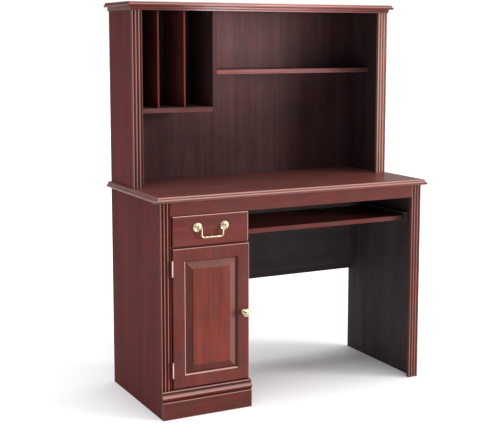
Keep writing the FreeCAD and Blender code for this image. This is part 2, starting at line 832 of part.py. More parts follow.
def make_drawer_pull():
    """Two round rosettes with ball-headed posts, and the bail that swings between them."""
    height = SIZE["bail_height"]
    stand = SIZE["bail_stand"]
    centre = (FRONTS_LEFT + DRAWER_RIGHT) / 2
    half = SIZE["bail_spacing"] / 2
    ball = 6
    neck = 3.8
    pin = 2.2
    rosette = 16
    rim = 1.4
    tap_radius = 2.2
    tap_depth = 8
    outline = [
        (tap_radius, 0), (rosette, 0), (rosette, -rim), (9, -3.6, 9, -1), (neck, -5.4, 7, 1),
        (neck, -stand), (0, -stand), (0, -tap_depth), (tap_radius, -tap_depth),
    ]
    posts = []
    seam_up = FreeCAD.Rotation(AXES["+Z"], AXES["-X"], AXES["-Y"], "XYZ")
    for side in (-1, 1):
        x = centre + half * side
        stem = turned("stem", outline, (x, FRONTS_FACE, height))
        head = doc.addObject("Part::Sphere", "ball")
        bind(head, "Radius", ball)
        place(head, x, FRONTS_FACE - stand, height, seam_up)
        post = fused("post", [stem, head])
        inward = "+X" if side < 0 else "-X"
        socket = rod("pin_socket", (x + side, FRONTS_FACE - stand, height),
                     inward, pin + 0.05, 12)
        posts.append(bored("pull_post", post, socket))
        add_screw("drawer_screws", ["drawer_front"],
                  (x, FRONTS_BACK + 2.4, height), "-Y", 4, 2.4, 2.1, 25)
    group("pull_posts", posts)
    make_bail(centre, half, height, FRONTS_FACE - stand, pin)


def bend(name, centre, across, up, radius, wire):
    """A quarter ring in an upright plane, from the across direction to the up direction."""
    piece = doc.addObject("Part::Torus", name)
    bind(piece, "Radius1", radius)
    bind(piece, "Radius2", wire)
    piece.Angle3 = 90
    first, second = AXES[across], AXES[up]
    turn = FreeCAD.Rotation(first, second, first.cross(second), "XYZ")
    place(piece, *centre, turn)
    return piece


def make_bail(centre, half, height, y, pin):
    wire = 2.7
    top_bend = 4.5
    low_bend = 7
    start = half - 6.6
    low = height - SIZE["bail_drop"]
    arm = start - top_bend
    grip = arm - low_bend
    thick = 3.9
    belly = 17
    taper = 9
    pieces = []
    for side, inward, outward in ((-1, "+X", "-X"), (1, "-X", "+X")):
        pieces.append(rod("bail_pin", (centre + (half - 0.5) * side, y, height), inward,
                          pin, 7))
        pieces.append(bend("bail_shoulder", (centre + start * side, y, height - top_bend),
                           inward, "+Z", top_bend, wire))
        pieces.append(rod("bail_arm", (centre + arm * side, y, low + low_bend), "+Z", wire,
                          SIZE["bail_drop"] - top_bend - low_bend))
        pieces.append(bend("bail_corner", (centre + grip * side, y, low + low_bend),
                           outward, "-Z", low_bend, wire))
        cone = doc.addObject("Part::Cone", "bail_taper")
        bind(cone, "Radius1", thick)
        bind(cone, "Radius2", wire)
        bind(cone, "Height", taper)
        place(cone, centre + belly * side, y, low, FreeCAD.Rotation(V(0, 0, 1), AXES[outward]))
        pieces.append(cone)
    pieces.append(rod("bail_grip", (centre - grip, y, low), "+X", wire, grip * 2))
    pieces.append(rod("bail_belly", (centre - belly, y, low), "+X", thick, belly * 2))
    keep("drawer_bail", fused("drawer_bail", pieces))


# ---- door ----

def make_door():
    x = (FRONTS_LEFT, DOOR_RIGHT)
    z = (SIZE["door_low"], SIZE["door_high"])
    width = x[1] - x[0]
    height = z[1] - z[0]
    stile = SIZE["frame_width"]
    rebate = 8
    opening = ((stile, width - stile), (stile, height - stile))
    outer = rectangle((0, width), (0, height))

    ring = new_body("door_frame_ring", x[0], FRONTS_BACK, z[0])
    blank = pad(ring, add_sketch(ring, "XZ_Plane", [outer, rectangle(*opening)]), BOARD)
    pocket = ring.newObject("PartDesign::Pocket", "panel_rebate")
    pocket.Profile = add_sketch(ring, "XZ_Plane", [rectangle(
        (stile - rebate, width - stile + rebate), (stile - rebate, height - stile + rebate))])
    bind(pocket, "Length", rebate)
    pocket.Reversed = True
    ring.Tip = pocket
    doc.recompute()
    if pocket.Shape.Volume > blank.Shape.Volume - 1:
        raise RuntimeError("the panel rebate removed nothing from the door frame")
    edges = front_edges(pocket, BOARD, (size_of(0), width), (size_of(0), height))
    softened = dress(ring, pocket, "Fillet", edges, "Radius", SIZE["front_radius"])
    inner = front_edges(softened, BOARD, opening[0], opening[1])
    dress(ring, softened, "Chamfer", inner, "Size", 4)

    spare = 1
    corner_in = ((stile, stile), (width - stile, stile),
                 (width - stile, height - stile), (stile, height - stile))
    corner_out = ((-spare, -spare), (width + spare, -spare),
                  (width + spare, height + spare), (-spare, height + spare))
    for index, label in enumerate(("door_bottom_rail", "door_right_stile",
                                   "door_top_rail", "door_left_stile")):
        after = (index + 1) % 4
        wedge = extruded(f"{label}_mitre", "XZ_Plane",
                         [[corner_out[index], corner_out[after],
                           corner_in[after], corner_in[index]]],
                         BOARD + spare * 2, (x[0], FRONTS_BACK + spare, z[0]))
        member = doc.addObject("Part::Common", label)
        member.Base = ring
        member.Tool = wedge
        keep(label, member)
    make_door_panel(x, z, opening, rebate)
    make_knob()


def make_door_panel(x, z, opening, rebate):
    """A plate in the frame's rebate, bevelled up to a raised field."""
    bevel = SIZE["panel_bevel"]
    tongue = rebate - 0.5
    rise = 5.5
    step = 1.5
    plate_u = tuple(limit + tongue * way for limit, way in zip(opening[0], (-1, 1)))
    plate_v = tuple(limit + tongue * way for limit, way in zip(opening[1], (-1, 1)))
    edge_u = tuple(limit + 0.5 * way for limit, way in zip(opening[0], (1, -1)))
    edge_v = tuple(limit + 0.5 * way for limit, way in zip(opening[1], (1, -1)))
    field_u = tuple(limit + bevel * way for limit, way in zip(opening[0], (1, -1)))
    field_v = tuple(limit + bevel * way for limit, way in zip(opening[1], (1, -1)))
    body = new_body("door_panel", x[0], FRONTS_BACK, z[0])
    pad(body, add_sketch(body, "XZ_Plane", [rectangle(plate_u, plate_v)]), rebate)
    loft = body.newObject("PartDesign::AdditiveLoft", "panel_bevel")
    loft.Profile = add_sketch(body, "XZ_Plane", [rectangle(edge_u, edge_v)], rebate)
    loft.Sections = [add_sketch(body, "XZ_Plane", [rectangle(field_u, field_v)],
                                rebate + rise)]
    body.Tip = loft
    doc.recompute()
    pad(body, add_sketch(body, "XZ_Plane", [rectangle(field_u, field_v)], rebate + rise),
        step)
    keep("door_panel", body)


def make_knob():
    x = DOOR_RIGHT - 21
    length = SIZE["knob_length"]
    tap_radius = 2.2
    tap_depth = 10
    foot = 9
    neck = 5
    head = 13.5
    outline = [
        (tap_radius, 0), (foot, 0), (foot, -1.5), (neck, -5, 5, 1), (neck, -(length - 15.5)),
        (head, -(length - 9), 11, 1), (0, -length, 14.5, -1), (0, -tap_depth),
        (tap_radius, -tap_depth),
    ]
    keep("door_knob", turned("door_knob", outline, (x, FRONTS_FACE, SIZE["knob_height"])))
    add_screw("door_screws", ["door_right_stile"],
              (x, FRONTS_BACK + 2.4, SIZE["knob_height"]), "-Y", 4, 2.4, 2.1, 27)


def make_hinge(low):
    """A butt hinge: a leaf and three knuckles on the frame, two knuckles on the door."""
    barrel = SIZE["barrel_radius"]
    pin = SIZE["pin_radius"]
    length = SIZE["hinge_length"]
    x = (LEFT + SIZE["pilaster_width"] + FRONTS_LEFT) / 2
    y = FRONTS_FACE - barrel - 0.4
    leaf = 1.5
    knuckle = length / 5
    face_left = LEFT + SIZE["pilaster_width"]
    leaf_y = (y, FRONT + 11)
    gap = 0.15
    bore = rod("knuckle_bore", (x, y, low - 1), "+Z", pin + 0.05, length + 2)
    frame_leaf = [block("frame_leaf", (face_left, face_left + leaf), leaf_y,
                        (low, low + length))]
    door_leaf = [block("door_leaf", (FRONTS_LEFT - leaf, FRONTS_LEFT), leaf_y,
                       (low, low + length))]
    for index in range(5):
        z = low + knuckle * index
        tube = rod("knuckle", (x, y, z + gap), "+Z", barrel, knuckle - gap * 2)
        (frame_leaf if index % 2 == 0 else door_leaf).append(tube)
    solids = []
    for name, pieces, first in (("frame", frame_leaf, 1), ("door", door_leaf, 0)):
        clear = [block("knuckle_gap", (x - barrel - 0.3, x + barrel + 0.3),
                       (y - barrel - 1, y + barrel + 0.35),
                       (low + knuckle * index - gap, low + knuckle * (index + 1) + gap))
                 for index in range(first, 5, 2)]
        plate = bored(f"{name}_leaf_plate", pieces[0], fused("knuckle_gaps", clear))
        solids.append(bored(f"{name}_leaf", fused(f"{name}_leaf_body",
                                                  [plate, *pieces[1:]]), bore))
    rivet = rod("hinge_pin", (x, y, low), "+Z", pin, length)
    screw = {"head_radius": 3, "head_depth": 1.4, "shank_radius": 1.5, "length": 14}
    screw_y = FRONT + 7
    end_inset = 9
    for z in (low + end_inset, low + length / 2, low + length - end_inset):
        add_screw("frame_screws", ["hinge_frame_leaves", "left_pilaster"],
                  (face_left + leaf, screw_y, z), "-X", **screw)
        add_screw("door_screws", ["hinge_door_leaves", "door_left_stile"],
                  (FRONTS_LEFT - leaf, screw_y, z), "+X", **screw)
    return solids[0], rivet, solids[1]


def make_hinges_and_catch():
    inset = SIZE["hinge_inset"]
    lows = (SIZE["door_low"] + inset, SIZE["door_high"] - inset - SIZE["hinge_length"])
    hinges = [make_hinge(low) for low in lows]
    group("hinge_frame_leaves", [hinge[0] for hinge in hinges] + [hinge[1] for hinge in hinges])
    group("hinge_door_leaves", [hinge[2] for hinge in hinges])
    x = DOOR_RIGHT - 70
    z = DIVIDER_TOP - BOARD
    catch_width = 40
    catch_height = 12
    plate_inset = 8
    plate_drop = 2
    plate = SIZE["sheet_metal"]
    screw_inset = 6
    board("door_catch", (x, x + catch_width), (FRONTS_BACK + plate + 0.5, FRONTS_BACK + 16),
          (z - catch_height, z))
    board("strike_plate", (x + plate_inset, x + catch_width - plate_inset),
          (FRONTS_BACK, FRONTS_BACK + plate),
          (z - catch_height - plate_drop, z - plate_drop))
    for at_x in (x + screw_inset, x + catch_width - screw_inset):
        add_screw("frame_screws", ["door_catch", "drawer_divider"],
                  (at_x, FRONTS_BACK + 9, z - catch_height), "+Z", 3, 1.5, 1.5, 24)
    add_screw("door_screws", ["strike_plate", "door_top_rail"],
              (x + catch_width / 2, FRONTS_BACK + plate, z - catch_height / 2 - plate_drop),
              "-Y", 2.6, plate, 1.3, 11)


# ---- keyboard tray ----

def make_tray():
    low = SIZE["tray_low"]
    gap = SIZE["slide_gap"]
    y = (TRAY_FRONT, TRAY_FRONT + SIZE["tray_depth"])
    board("keyboard_tray", (PEDESTAL + gap, TRAY_SLIDE_FACE - gap), y, (low, low + BOARD))
    make_slides("tray", PEDESTAL, TRAY_SLIDE_FACE, ("pedestal_partition", "slide_spacers"),
                TRAY_MIDDLE, TRAY_SLIDE_Y, (TRAY_FRONT + 2, y[1]))


def make_slide_spacers():
    """Battens that hold the drawer's left slide and the tray's right slide clear of the fronts."""
    end_gap = 9
    side_low = DIVIDER_TOP + 2
    side_height = 36
    half = 20
    screw_inset = 20
    screw_edge = 6
    screw = {"head_radius": 4, "head_depth": 3, "shank_radius": 2, "length": 32}
    side_y = (BOARD_FRONT + end_gap, BOARD_BACK - end_gap)
    side = block("side_spacer", (LEFT + BOARD, DRAWER_SLIDE_FACE), side_y,
                 (side_low, side_low + side_height))
    leg = block("leg_spacer", (TRAY_SLIDE_FACE, LEG), TRAY_SLIDE_Y,
                (TRAY_MIDDLE - half, TRAY_MIDDLE + half))
    group("slide_spacers", [side, leg])
    for at_y in (side_y[0] + screw_inset, side_y[1] - screw_inset):
        add_screw("frame_screws", ["slide_spacers", "left_side_panel"],
                  (DRAWER_SLIDE_FACE, at_y, side_low + side_height - screw_edge), "-X",
                  **screw)
    for at_y in (TRAY_SLIDE_Y[0] + screw_inset, TRAY_SLIDE_Y[1] - screw_inset):
        add_screw("frame_screws", ["slide_spacers", "right_leg_panel"],
                  (TRAY_SLIDE_FACE, at_y, TRAY_MIDDLE + half - screw_edge), "+X", **screw)


def make_leg_screws():
    """Four small screws let into the inner face of the leg panel."""
    spots = [
        {"setback": 83, "height": 489},
        {"setback": 226, "height": 436},
        {"setback": 109, "height": 264},
        {"setback": 109, "height": 178},
    ]
    for spot in spots:
        add_screw("frame_screws", ["right_leg_panel"],
                  (LEG, FRONT + spot["setback"], spot["height"]), "+X", 3, 2, 1.8, 12)


def drill_holes():
    """Cut every noted hole from the sub-part that it belongs to."""
    for label, holes in drillings.items():
        blank = parts[label]
        blank.Label = f"{label}_blank"
        tool = doc.addObject("Part::Compound", f"{label}_holes")
        tool.Links = holes
        keep(label, bored(label, blank, tool))


def check_and_write():
    doc.recompute()
    for obj in doc.Objects:
        if "Invalid" in obj.State or "Error" in obj.State:
            raise RuntimeError(f"{obj.Label} did not compute: {obj.State}")
    os.makedirs("parts", exist_ok=True)
    for label, piece in parts.items():
        if piece.Shape.isNull() or not piece.Shape.isValid() or not piece.Shape.Solids:
            raise RuntimeError(f"{label} has no valid shape")
        piece.Shape.exportStep(f"parts/{label}.step")
    print(f"{len(parts)} sub-parts written")


make_carcass()
make_plinth()
make_cupboard_shelf()
make_hutch()
make_cornice()
make_drawer()
make_drawer_pull()
make_door()
make_hinges_and_catch()
make_tray()
make_slide_spacers()
make_leg_screws()
add_cams()
add_dowels()
add_nails()
for fastener_label, solids in fasteners.items():
    group(fastener_label, solids)
drill_holes()
check_and_write()
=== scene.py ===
import math
import bmesh
import bpy
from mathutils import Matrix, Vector


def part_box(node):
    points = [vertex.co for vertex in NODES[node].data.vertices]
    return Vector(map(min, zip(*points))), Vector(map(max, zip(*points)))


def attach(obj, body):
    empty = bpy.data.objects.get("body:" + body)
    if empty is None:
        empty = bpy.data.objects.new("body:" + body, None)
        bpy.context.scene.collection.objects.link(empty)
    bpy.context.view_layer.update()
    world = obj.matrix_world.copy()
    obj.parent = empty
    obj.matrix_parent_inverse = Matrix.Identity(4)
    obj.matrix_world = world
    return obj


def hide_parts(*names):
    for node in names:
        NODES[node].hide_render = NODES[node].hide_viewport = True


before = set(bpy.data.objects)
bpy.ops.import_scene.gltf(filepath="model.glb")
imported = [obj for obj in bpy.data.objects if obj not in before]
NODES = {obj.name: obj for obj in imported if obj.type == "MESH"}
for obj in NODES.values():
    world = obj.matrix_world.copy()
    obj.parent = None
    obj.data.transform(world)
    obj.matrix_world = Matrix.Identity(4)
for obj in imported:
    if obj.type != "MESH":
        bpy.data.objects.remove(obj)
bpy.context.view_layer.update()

# Gives the desk its finishes, a rounder pull, knob and bail, soft edges, a studio and the
# photo's camera. Only those three brass pieces take the place of a CAD piece.

AXES = ("X", "Y", "Z")
WHITE = (1.0, 1.0, 1.0)

# ---- node trees ----

# Noise values lie mostly between these two.
LOW, HIGH = 0.3, 0.7

# The normal's largest component on a flat face, and on a fully rounded edge.
FLAT, ROUNDED = 0.998, 0.95
# How far a rounded edge looks up or to the right, towards the lamps, where its painted
# highlight starts, and where it is full.
HIGHLIGHT_START, HIGHLIGHT_FULL = 0.1, 0.45
# How far a face looks to one side where its painted shade starts, and where it is full.
SIDE_START, SIDE_FULL = 0.5, 0.9


class Nodes:
    """The node tree of a material or a world, with short calls to add and link nodes."""

    def __init__(self, owner, shader):
        owner.use_nodes = True
        self.owner = owner
        self.tree = owner.node_tree
        self.shader = self.tree.nodes[shader]

    def add(self, kind, **inputs):
        node = self.tree.nodes.new(kind)
        for key, value in inputs.items():
            if hasattr(node, key):
                setattr(node, key, value)
            else:
                self.feed(node.inputs[key.replace("_", " ")], value)
        return node

    def feed(self, socket, value):
        if isinstance(value, bpy.types.NodeSocket):
            self.tree.links.new(value, socket)
        else:
            socket.default_value = value

    def set(self, **inputs):
        for key, value in inputs.items():
            self.feed(self.shader.inputs[key.replace("_", " ")], value)

    def math(self, operation, *values):
        node = self.tree.nodes.new("ShaderNodeMath")
        node.operation = operation
        for socket, value in zip(node.inputs, values):
            self.feed(socket, value)
        return node.outputs["Value"]

    def levels(self, value, low, high, to_low, to_high):
        return self.add("ShaderNodeMapRange", Value=value, From_Min=low, From_Max=high,
                        To_Min=to_low, To_Max=to_high).outputs["Result"]

    def ramp(self, value, stops):
        node = self.add("ShaderNodeValToRGB", Fac=value)
        ramp = node.color_ramp
        while len(ramp.elements) < len(stops):
            ramp.elements.new(0.5)
        for element, (position, colour) in zip(ramp.elements, stops):
            element.position = position
            element.color = (*colour, 1)
        return node.outputs["Color"]

    def blend(self, mode, amount, first, second):
        node = self.add("ShaderNodeMix", data_type="RGBA", blend_type=mode)
        self.feed(node.inputs["Factor"], amount)
        self.feed(node.inputs["A"], first)
        self.feed(node.inputs["B"], second)
        return node.outputs["Result"]

    def noise(self, stretch, offset, scale, detail, rough, warp=0.0):
        place = self.add("ShaderNodeTexCoord").outputs["Object"]
        vector = self.add("ShaderNodeMapping", Vector=place, Scale=stretch,
                          Location=offset).outputs["Vector"]
        return self.add("ShaderNodeTexNoise", Vector=vector, Scale=scale, Detail=detail,
                        Roughness=rough, Distortion=warp).outputs["Fac"]

    def even(self, layer, offset=(0, 0, 0)):
        """Noise that is the same in every direction, from scale, detail and roughness."""
        return self.noise((1, 1, 1), offset, *layer)

    def grained(self, layer, grain, offset):
        """Noise drawn out along one axis. The layer starts with its two scales."""
        along, across, *rest = layer
        stretch = tuple(along if axis == grain else across for axis in AXES)
        return self.noise(stretch, offset, 1.0, *rest)

    def facing(self):
        """The surface normal's three components, in the object's own axes."""
        normal = self.add("ShaderNodeTexCoord").outputs["Normal"]
        apart = self.add("ShaderNodeSeparateXYZ", Vector=normal)
        return [apart.outputs[axis] for axis in AXES]

    def painted_edge_highlight(self):
        """Painted highlight: 0 on flat faces, 1 on rounded edges that look up or to the right.
        """
        across, deep, up = self.facing()
        sizes = [self.math("ABSOLUTE", value) for value in (across, deep, up)]
        largest = self.math("MAXIMUM", self.math("MAXIMUM", sizes[0], sizes[1]), sizes[2])
        rounded = self.levels(largest, FLAT, ROUNDED, 0.0, 1.0)
        looks = self.levels(self.math("ADD", across, up), HIGHLIGHT_START, HIGHLIGHT_FULL, 0.0, 1.0)
        return self.math("MULTIPLY", rounded, looks)

    def recess(self, start, end):
        """0 up to the first depth along the object's Y axis, 1 from the second depth on."""
        place = self.add("ShaderNodeTexCoord").outputs["Object"]
        depth = self.add("ShaderNodeSeparateXYZ", Vector=place).outputs["Y"]
        return self.levels(depth, start, end, 0.0, 1.0)

    def bump(self, height, strength, distance):
        bump = self.add("ShaderNodeBump", Height=height, Strength=strength, Distance=distance)
        self.feed(self.shader.inputs["Normal"], bump.outputs["Normal"])


def new_material(name):
    return Nodes(bpy.data.materials.new(name), "Principled BSDF")


def front_depth(node):
    """How far forward a node's mesh reaches, along its own Y axis."""
    return min(vertex.co.y for vertex in NODES[node].data.vertices)


# ---- cherry finish ----

# Grained layers: scale along and across the grain, detail, roughness, warp.
FIGURE = (1.0, 16.0, 3.0, 0.5, 1.2)
STREAKS = (3.0, 190.0, 4.0, 0.6, 0.3)
PORES = (16.0, 700.0, 2.0, 0.5)
MOTTLE = (12.0, 34.0, 4.0, 0.6, 0.5)
# Even layer: scale, detail, roughness.
CLOUD = (9.0, 4.0, 0.6)

STREAK_STOPS = [(0.3, (0.52, 0.46, 0.46)), (0.5, (0.92, 0.9, 0.9)), (0.7, (1.3, 1.22, 1.2))]
CLOUD_STOPS = [(0.3, (0.78, 0.76, 0.78)), (0.7, (1.18, 1.14, 1.1))]
PORE_STOPS = [(0.33, (0.4, 0.34, 0.34)), (0.42, (1, 1, 1))]
MOTTLE_STOPS = [(0.35, (0.82, 1.08, 1.1)), (0.5, (1.0, 0.98, 0.98)), (0.66, (1.22, 0.8, 0.72))]

CLOUDED, PORED = 0.6, 0.35         # strength of the clouds and of the pores
SMOOTHER, ROUGHER = 0.04, 0.08     # how far the roughness strays from a board's own
VENEER_RELIEF = (0.1, 0.0003)      # strength, and height in metres
SEED_STEP = (0.37, 0.71, 0.53)     # moves the pattern, so that no two boards match
# The pale pink of a painted highlight on rounded edges that look up or right.
EDGE_HIGHLIGHT = (0.56, 0.34, 0.30)


def cherry(node, grain, seed, tints, gloss=0.34, coat=0.1, coat_rough=0.12, shine=0.1,
           edge=0.9, streak=0.32, mottled=0.8, hollow=None, inner=None):
    """Cherry finish on a printed veneer: figure, fine streaks, pores, painted edge highlights
    and shade, and coat.

    hollow is (start, end, tint), painted shade in flutes and bevels, with depths in metres
    behind the node's front. inner is (side, tint), painted shade on the face that looks to
    the left (-1) or the right (+1).
    """
    m = new_material(f"cherry_{node}")
    offset = tuple(seed * step for step in SEED_STEP)
    figure, streaks, pores, mottle = [m.grained(layer, grain, offset)
                                      for layer in (FIGURE, STREAKS, PORES, MOTTLE)]
    cloud = m.even(CLOUD, offset)
    dark, light = tints
    base = m.ramp(figure, [(LOW, dark), (HIGH, light)])
    for amount, noise, stops in ((streak, streaks, STREAK_STOPS), (CLOUDED, cloud, CLOUD_STOPS),
                                 (PORED, pores, PORE_STOPS), (mottled, mottle, MOTTLE_STOPS)):
        base = m.blend("MULTIPLY", amount, base, m.ramp(noise, stops))
    # Painted shade: darker behind the node's front, in flutes, coves and bevels.
    if hollow:
        start, end, tint = hollow
        front = front_depth(node)
        base = m.blend("MULTIPLY", m.recess(front + start, front + end), base, (*tint, 1))
    # Painted shade on one side face, where the lamps don't reach.
    if inner:
        side, tint = inner
        looks = m.levels(m.facing()[0], SIDE_START * side, SIDE_FULL * side, 0.0, 1.0)
        base = m.blend("MULTIPLY", looks, base, (*tint, 1))
    # A painted highlight on rounded edges that look up or right, towards the lamps.
    highlighted = m.math("MULTIPLY", m.painted_edge_highlight(), edge)
    base = m.blend("MIX", highlighted, base, (*EDGE_HIGHLIGHT, 1))
    m.set(Base_Color=base, Coat_Weight=coat, Coat_Roughness=coat_rough, Specular_IOR_Level=shine)
    m.set(Roughness=m.levels(cloud, LOW, HIGH, gloss - SMOOTHER, gloss + ROUGHER))
    m.bump(m.blend("MIX", 0.5, pores, streaks), *VENEER_RELIEF)
    return m.owner


# Dark and light figure of each group of boards. Several groups are the one cherry at
# another brightness: the desk top's and the hutch's are lighter and greyer, the cherry's
# colour with a painted sheen; the two right-hand pilasters' are lighter still, a painted
# highlight; the backs', the hutch divider's and the kneehole's are darker, painted shade.
# The left hutch shelf runs from that shade to the hutch's sheen.
FRONT = ((0.074, 0.0160, 0.0140), (0.106, 0.0226, 0.0196))
FIELD = ((0.094, 0.0185, 0.0132), (0.148, 0.0290, 0.0200))
FRAME = ((0.080, 0.0180, 0.0152), (0.110, 0.0254, 0.0210))
PLINTH = ((0.066, 0.0150, 0.0120), (0.096, 0.0210, 0.0165))
TOP = ((0.100, 0.0330, 0.0290), (0.140, 0.0460, 0.0400))
SIDE = ((0.080, 0.0195, 0.0190), (0.114, 0.0275, 0.0270))
HUTCH = ((0.105, 0.0430, 0.0400), (0.150, 0.0640, 0.0600))
BACK = ((0.034, 0.0165, 0.0168), (0.049, 0.0235, 0.0240))
GLARE = ((0.170, 0.0680, 0.0600), (0.240, 0.1000, 0.0880))
SHINE = ((0.330, 0.2000, 0.1700), (0.430, 0.2700, 0.2300))
SHADE = ((0.052, 0.0460, 0.0440), (0.070, 0.0620, 0.0600))
TRAY = (FRAME[0], FRONT[1])
LEFT_SHELF = (BACK[1], HUTCH[0])


def fluted(tint):
    """The finish of a pilaster whose flutes, 2.6 mm deep, are darkened with painted shade."""
    return dict(hollow=(0.0001, 0.0026, tint), streak=0.3, edge=0.35, coat=0.0, shine=0.03)


# Finishes that several boards share.
DULL = dict(gloss=0.55, coat=0.0, shine=0.02, edge=0.25, mottled=0.5)
SHADED = dict(DULL, mottled=0.1)
# Painted shade on the faces that look right, inside the slotted bay.
SLOTTED = dict(DULL, inner=(1, (0.18, 0.6, 0.6)))
POLISHED = dict(gloss=0.33, coat=0.2, coat_rough=0.06, shine=0.1, edge=0.4)
# Painted shade in the cap moulding's cove and on the raised panel's bevels.
CAP = dict(hollow=(0.001, 0.007, (0.50, 0.42, 0.42)), edge=0.45)
RAISED = dict(hollow=(0.0005, 0.0016, (0.62, 0.70, 0.76)), streak=0.5)

# The four pieces of the door's frame share a seed, and so one material.
DOOR_FRAME = (11.0, "Z", FRAME, dict(edge=0.6))

# Each board: seed, grain axis, figure, finish.
WOODS = {
    "desk_top": (1.0, "X", TOP, POLISHED),
    "apron_rail": (2.0, "X", FRONT, {}),
    "plinth_board": (3.0, "X", PLINTH, dict(edge=0.45)),
    "plinth_cap_moulding": (4.0, "X", FRONT, CAP),
    "drawer_front": (5.0, "X", FRONT, {}),
    "door_left_stile": DOOR_FRAME,
    "door_right_stile": DOOR_FRAME,
    "door_top_rail": DOOR_FRAME,
    "door_bottom_rail": DOOR_FRAME,
    "door_panel": (12.0, "Z", FIELD, RAISED),
    "left_pilaster": (13.0, "Z", FRONT, fluted((0.72, 0.68, 0.66))),
    "right_pilaster": (14.0, "Z", GLARE, fluted((0.55, 0.48, 0.46))),
    "hutch_left_pilaster": (15.0, "Z", HUTCH, fluted((0.58, 0.50, 0.46))),
    "hutch_right_pilaster": (16.0, "Z", SHINE, fluted((0.60, 0.55, 0.50))),
    "left_side_panel": (17.0, "Z", SIDE, DULL),
    # Painted shade on the leg's face that looks left into the kneehole.
    "right_leg_panel": (18.0, "Z", SIDE, dict(SHADED, inner=(-1, (0.58, 2.0, 2.0)))),
    "hutch_left_side": (19.0, "Z", SIDE, SLOTTED),
    # Painted shade on the hutch side's face that looks left into the hutch.
    "hutch_right_side": (20.0, "Z", SIDE, dict(DULL, inner=(-1, (0.45, 1.2, 1.2)))),
    "modesty_panel": (21.0, "X", SHADE, SHADED),
    "pedestal_partition": (22.0, "Z", SIDE, DULL),
    "pedestal_bottom": (23.0, "X", SIDE, DULL),
    "drawer_divider": (24.0, "X", SIDE, DULL),
    "cupboard_shelf": (25.0, "X", SIDE, DULL),
    "slide_spacers": (26.0, "Y", SHADE, SHADED),
    "keyboard_tray": (27.0, "X", TRAY, {}),
    "hutch_top": (28.0, "X", FRONT, dict(edge=0.4)),
    "cornice_moulding": (29.0, "X", FRONT, dict(edge=0.4)),
    "hutch_divider": (30.0, "Z", BACK, DULL),
    "hutch_left_shelf": (31.0, "X", LEFT_SHELF, DULL),
    "hutch_right_shelf": (32.0, "X", HUTCH, DULL),
    "slot_dividers": (33.0, "Z", SIDE, SLOTTED),
    "hutch_back": (41.0, "Z", BACK, DULL),
    "pedestal_back": (42.0, "Z", BACK, DULL),
}

finishes = {}
for node, (seed, grain, tints, finish) in WOODS.items():
    if seed not in finishes:
        finishes[seed] = cherry(node, grain, seed, tints, **finish)
    NODES[node].data.materials[0] = finishes[seed]

# ---- hardware and lining ----

# Even layers: scale, detail, roughness.
BRUSHING = (240.0, 4.0, 0.6)
TARNISH = (48.0, 3.0, 0.5)
SPECKLE = (120.0, 3.0, 0.5)
LINING_CLOUD = (5.0, 2.0, 0.5)
FIBRE_DETAIL, FIBRE_ROUGH = 6.0, 0.7

TARNISH_OFFSET, LINING_OFFSET = (3, 1, 2), (5, 2, 1)
TARNISH_END = 0.62
LINING_STOPS = [(LOW, (0.8, 0.8, 0.8)), (HIGH, (1.1, 1.1, 1.1))]
LINING_CLOUDED = 0.4
# How far the roughness strays from a metal's or a plastic's own, and a lining's limits.
BRUSHED_SMOOTHER, BRUSHED_ROUGHER, SPECKLED_ROUGHER = 0.05, 0.1, 0.15
LINING_ROUGHNESS = (0.5, 0.7)
# Relief: strength, and height in metres.
METAL_RELIEF, PLASTIC_RELIEF, LINING_RELIEF = (0.08, 0.0002), (0.05, 0.0002), (0.1, 0.0003)


def metal(name, tint, deep, rough):
    """A lacquered or plated metal with faint brushing and tarnish."""
    m = new_material(name)
    grain = m.even(BRUSHING)
    tarnish = m.even(TARNISH, TARNISH_OFFSET)
    m.set(Base_Color=m.ramp(tarnish, [(LOW, deep), (TARNISH_END, tint)]), Metallic=1.0)
    m.set(Roughness=m.levels(grain, LOW, HIGH, rough - BRUSHED_SMOOTHER,
                             rough + BRUSHED_ROUGHER))
    m.bump(grain, *METAL_RELIEF)
    return m.owner


def plastic(name, tint, deep, rough):
    """A moulded plastic or a paint coat, with a faint speckle."""
    m = new_material(name)
    grain = m.even(SPECKLE)
    m.set(Base_Color=m.ramp(grain, [(LOW, deep), (HIGH, tint)]))
    m.set(Roughness=m.levels(grain, LOW, HIGH, rough, rough + SPECKLED_ROUGHER))
    m.bump(grain, *PLASTIC_RELIEF)
    return m.owner


def lining(name, tint, deep, scale):
    """Pale lining board or beech: a mottled, faintly fibrous face."""
    m = new_material(name)
    fibre = m.even((scale, FIBRE_DETAIL, FIBRE_ROUGH))
    cloud = m.even(LINING_CLOUD, LINING_OFFSET)
    base = m.blend("MULTIPLY", LINING_CLOUDED, m.ramp(fibre, [(LOW, deep), (HIGH, tint)]),
                   m.ramp(cloud, LINING_STOPS))
    m.set(Base_Color=base, Roughness=m.levels(fibre, LOW, HIGH, *LINING_ROUGHNESS))
    m.bump(fibre, *LINING_RELIEF)
    return m.owner


BRASS = metal("polished_brass", (0.70, 0.60, 0.40), (0.42, 0.33, 0.19), 0.24)
HINGE = metal("hinge_brass", (0.64, 0.50, 0.42), (0.46, 0.34, 0.27), 0.32)
ZINC = metal("zinc_steel", (0.62, 0.62, 0.60), (0.42, 0.42, 0.42), 0.32)
COATED = plastic("dark_coated_steel", (0.035, 0.030, 0.028), (0.022, 0.019, 0.018), 0.3)
NYLON = plastic("black_nylon", (0.045, 0.042, 0.040), (0.030, 0.028, 0.027), 0.35)
COVER = plastic("cherry_cap", (0.032, 0.014, 0.013), (0.024, 0.011, 0.010), 0.55)
CATCH = plastic("brown_plastic", (0.05, 0.03, 0.025), (0.03, 0.018, 0.015), 0.4)
BOX = lining("drawer_lining", (0.56, 0.46, 0.36), (0.44, 0.35, 0.27), 90.0)
BEECH = lining("beech", (0.62, 0.45, 0.28), (0.48, 0.33, 0.20), 150.0)

